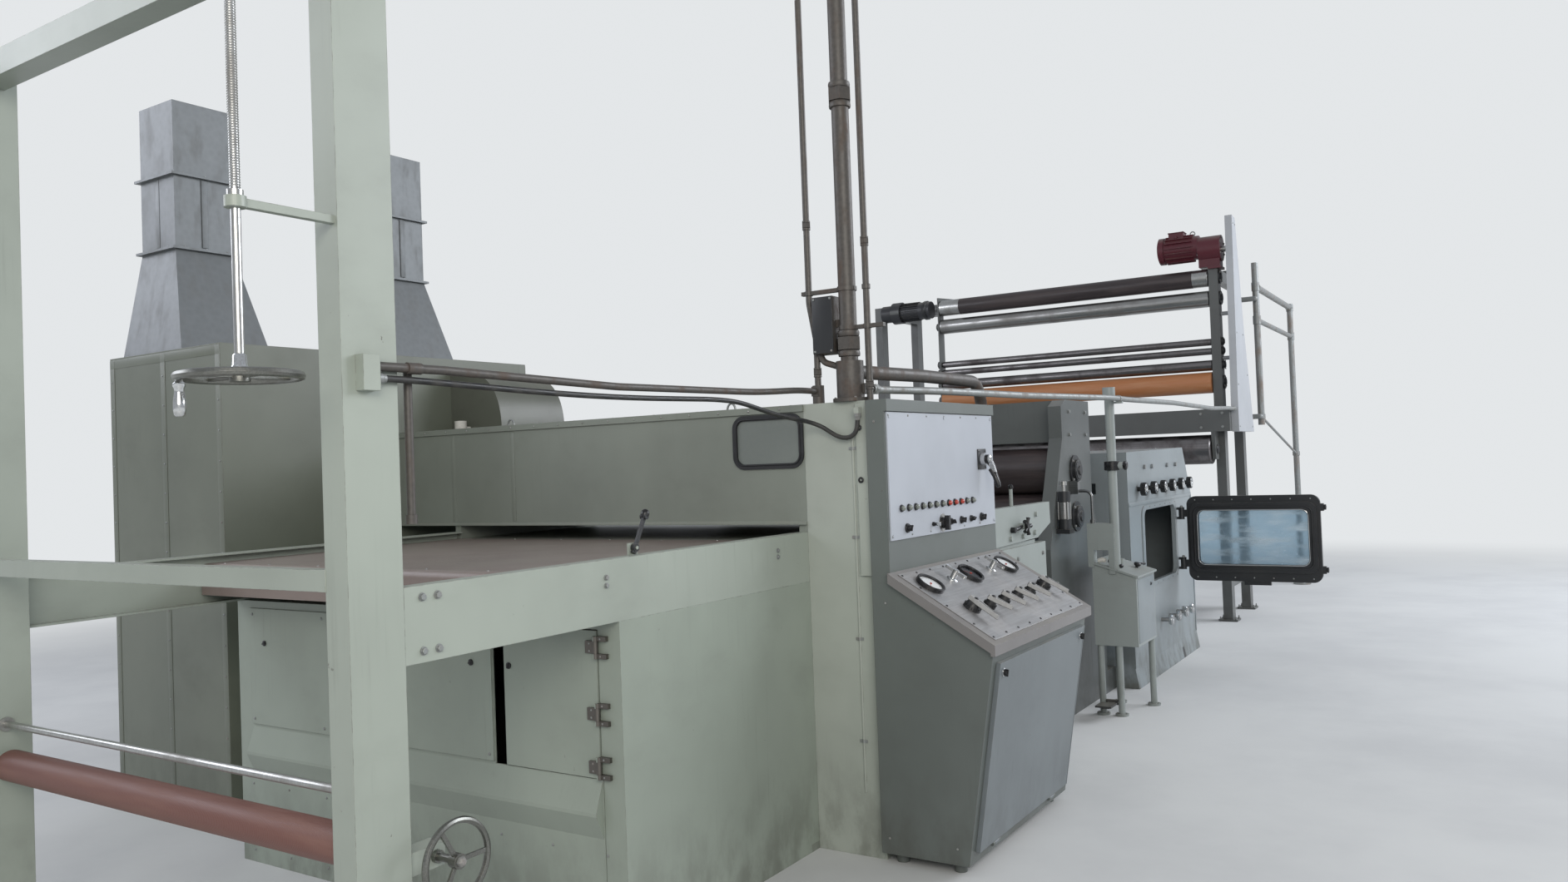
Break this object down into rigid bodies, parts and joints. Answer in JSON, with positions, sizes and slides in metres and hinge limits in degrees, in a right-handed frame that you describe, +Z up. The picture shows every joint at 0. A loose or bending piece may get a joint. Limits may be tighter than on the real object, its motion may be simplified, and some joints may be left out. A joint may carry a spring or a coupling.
{
  "type": "bleaching range",
  "caption": "Open-width textile bleaching line: entry frame, table, steam chamber with hood and exhaust, control desk, padder, washing compartment and roller tower.",
  "frame": {"origin": "on the floor, on the cloth's centre line, in the plane of the chamber's front face", "axes": "+Y with the cloth along the line, +X to the operator's side, +Z up"},
  "size_m": [4.802, 12.3279, 3.61],
  "materials": {
    "green_enamel": "brushed-on enamel with chips",
    "cream_enamel": "enamel, dusty and stained",
    "pale_enamel": "smooth enamel",
    "slate_enamel": "enamel, rubbed at the edges",
    "maroon_enamel": "machine enamel",
    "stainless": "rolled sheet, stained",
    "galvanised": "zinc-coated",
    "bright_steel": "turned",
    "chrome": "polished",
    "black_rubber": "moulded",
    "brown_rubber": "ground and worn",
    "orange_rubber": "ground",
    "bakelite": "moulded",
    "lamp_lens": "clear tinted lens",
    "sight_glass": "flat",
    "cable_sheath": "extruded sheath",
    "brown_sheet": "worn and stained"
  },
  "bodies": {
    "root": {"portal_frame": "green_enamel", "entry_rail": "bright_steel", "table_frame": "cream_enamel", "table_top": "brown_sheet", "lower_housing": "cream_enamel", "chamber_base": "cream_enamel", "chamber_hood": "cream_enamel", "hood_window": "black_rubber", "exhaust_plenum": "cream_enamel", "exhaust_ducts": "galvanised", "exhaust_elbow": "cream_enamel", "cable_post": "cream_enamel", "conduit_bundle": "galvanised", "air_pipe": "galvanised", "supply_pipe": "galvanised", "signal_cable": "cable_sheath", "console_cabinet": "green_enamel", "desk_top_plate": "slate_enamel", "instrument_panel": "pale_enamel", "indicator_lamps": "lamp_lens", "panel_switches": "bakelite", "meter_cases": "bakelite", "padder_frame": "green_enamel", "padder_cylinders": "bright_steel", "pedestal_stand": "green_enamel", "washer_tank": "green_enamel", "washer_valve_knobs": "bakelite", "tower_frame": "green_enamel", "drive_guard": "green_enamel", "gearmotor": "maroon_enamel", "exit_pipe_frame": "galvanised"},
    "guide_roller": {"entry_guide_roller": "brown_rubber"},
    "adjusting_wheel": {"adjusting_handwheel": "bright_steel"},
    "spindle": {"spindle_rod": "bright_steel", "spindle_handwheel": "green_enamel"},
    "lever": {"table_lever": "bakelite"},
    "service_door": {"housing_door": "cream_enamel"},
    "cabinet_door": {"desk_door": "green_enamel"},
    "main_switch": {"main_switch_lever": "chrome"},
    "selector": {"selector_knob": "bakelite"},
    "cock_left": {"regulator_cock_left": "chrome"},
    "cock_right": {"regulator_cock_right": "chrome"},
    "padder_lower": {"padder_lower_roller": "black_rubber"},
    "padder_upper": {"padder_upper_roller": "black_rubber"},
    "pedal": {"foot_pedal": "green_enamel"},
    "hatch_door": {"inspection_door": "green_enamel", "inspection_pane": "sight_glass"},
    "top_drive": {"top_drive_roller": "stainless"},
    "upper_guide": {"upper_guide_roller": "stainless"},
    "middle_upper": {"middle_roller_upper": "stainless"},
    "middle_lower": {"middle_roller_lower": "stainless"},
    "lower_guide": {"lower_guide_roller": "stainless"},
    "rubber_covered": {"rubber_roller": "orange_rubber"},
    "bottom_nip": {"bottom_nip_roller": "stainless"},
    "lever_1": {"desk_lever_1": "bakelite"},
    "lever_2": {"desk_lever_2": "bakelite"},
    "lever_3": {"desk_lever_3": "bakelite"},
    "lever_4": {"desk_lever_4": "bakelite"},
    "lever_5": {"desk_lever_5": "bakelite"},
    "lever_6": {"desk_lever_6": "bakelite"}
  },
  "joints": [
    {"name": "guide_roller_spin", "type": "hinge", "parent": "root", "child": "guide_roller", "pos_m": [0, -2.0685, 0.62], "axis": [1, 0, 0], "continuous": true},
    {"name": "adjusting_wheel_turn", "type": "hinge", "parent": "root", "child": "adjusting_wheel", "pos_m": [1.11, -1.902, 0.562], "axis": [1, 0, 0], "continuous": true},
    {"name": "spindle_turn", "type": "hinge", "parent": "root", "child": "spindle", "pos_m": [1.02, -2.4, 1.794], "axis": [0, 0, 1], "continuous": true},
    {"name": "table_lever_swing", "type": "hinge", "parent": "root", "child": "lever", "pos_m": [1.016, -1.048, 1.294], "axis": [1, 0, 0], "range_deg": [-40, 30]},
    {"name": "service_door_hinge", "type": "hinge", "parent": "root", "child": "service_door", "pos_m": [0.948, -1.18, 0.8], "axis": [0, 0, 1], "range_deg": [0, 105]},
    {"name": "cabinet_door_hinge", "type": "hinge", "parent": "root", "child": "cabinet_door", "pos_m": [1.71839, 0.5, 0.07128], "axis": [0, 1, 0], "range_deg": [0, 75]},
    {"name": "main_switch_throw", "type": "hinge", "parent": "root", "child": "main_switch", "pos_m": [1.464, 0.89, 1.537], "axis": [1, 0, 0], "range_deg": [-90, 0]},
    {"name": "selector_turn", "type": "hinge", "parent": "root", "child": "selector", "pos_m": [1.44, 0.449, 1.278], "axis": [1, 0, 0], "range_deg": [-60, 60]},
    {"name": "cock_left_turn", "type": "hinge", "parent": "root", "child": "cock_left", "pos_m": [1.52818, 0.305, 1.05966], "axis": [0.51, 0, 0.8602], "range_deg": [-90, 90]},
    {"name": "cock_right_turn", "type": "hinge", "parent": "root", "child": "cock_right", "pos_m": [1.52818, 0.715, 1.05966], "axis": [0.51, 0, 0.8602], "range_deg": [-90, 90]},
    {"name": "lever_1_turn", "type": "hinge", "parent": "root", "child": "lever_1", "pos_m": [1.68129, 0.132, 0.96887], "axis": [0.51, 0, 0.8602], "range_deg": [-45, 45]},
    {"name": "lever_2_turn", "type": "hinge", "parent": "root", "child": "lever_2", "pos_m": [1.69505, 0.272, 0.96071], "axis": [0.51, 0, 0.8602], "range_deg": [-45, 45]},
    {"name": "lever_3_turn", "type": "hinge", "parent": "root", "child": "lever_3", "pos_m": [1.69505, 0.42, 0.96071], "axis": [0.51, 0, 0.8602], "range_deg": [-45, 45]},
    {"name": "lever_4_turn", "type": "hinge", "parent": "root", "child": "lever_4", "pos_m": [1.69505, 0.568, 0.96071], "axis": [0.51, 0, 0.8602], "range_deg": [-45, 45]},
    {"name": "lever_5_turn", "type": "hinge", "parent": "root", "child": "lever_5", "pos_m": [1.69505, 0.716, 0.96071], "axis": [0.51, 0, 0.8602], "range_deg": [-45, 45]},
    {"name": "lever_6_turn", "type": "hinge", "parent": "root", "child": "lever_6", "pos_m": [1.68473, 0.918, 0.96683], "axis": [0.51, 0, 0.8602], "range_deg": [-45, 45]},
    {"name": "padder_lower_spin", "type": "hinge", "parent": "root", "child": "padder_lower", "pos_m": [0, 2.815, 1.16485], "axis": [1, 0, 0], "continuous": true},
    {"name": "padder_upper_spin", "type": "hinge", "parent": "root", "child": "padder_upper", "pos_m": [0, 2.815, 1.44515], "axis": [1, 0, 0], "continuous": true},
    {"name": "pedal_press", "type": "hinge", "parent": "root", "child": "pedal", "pos_m": [1.43, 2.725, 0.075], "axis": [1, 0, 0], "range_deg": [0, 12]},
    {"name": "hatch_door_swing", "type": "hinge", "parent": "root", "child": "hatch_door", "pos_m": [1.4, 4.75, 0.885], "axis": [0, 0, 1], "range_deg": [-89, 15]},
    {"name": "top_drive_spin", "type": "hinge", "parent": "root", "child": "top_drive", "pos_m": [0, 6.71, 3.08], "axis": [1, 0, 0], "continuous": true},
    {"name": "upper_guide_spin", "type": "hinge", "parent": "root", "child": "upper_guide", "pos_m": [0, 6.71, 2.89], "axis": [1, 0, 0], "continuous": true},
    {"name": "middle_upper_spin", "type": "hinge", "parent": "root", "child": "middle_upper", "pos_m": [0, 6.71, 2.5], "axis": [1, 0, 0], "continuous": true},
    {"name": "middle_lower_spin", "type": "hinge", "parent": "root", "child": "middle_lower", "pos_m": [0, 6.71, 2.417], "axis": [1, 0, 0], "continuous": true},
    {"name": "lower_guide_spin", "type": "hinge", "parent": "root", "child": "lower_guide", "pos_m": [0, 6.71, 2.29], "axis": [1, 0, 0], "continuous": true},
    {"name": "rubber_covered_spin", "type": "hinge", "parent": "root", "child": "rubber_covered", "pos_m": [0, 6.71, 2.135], "axis": [1, 0, 0], "continuous": true},
    {"name": "bottom_nip_spin", "type": "hinge", "parent": "root", "child": "bottom_nip", "pos_m": [0, 6.56, 1.535], "axis": [1, 0, 0], "continuous": true}
  ],
  "couplings": [
    {"joint": "padder_upper_spin", "follows": "padder_lower_spin", "ratio": -1}
  ]
}
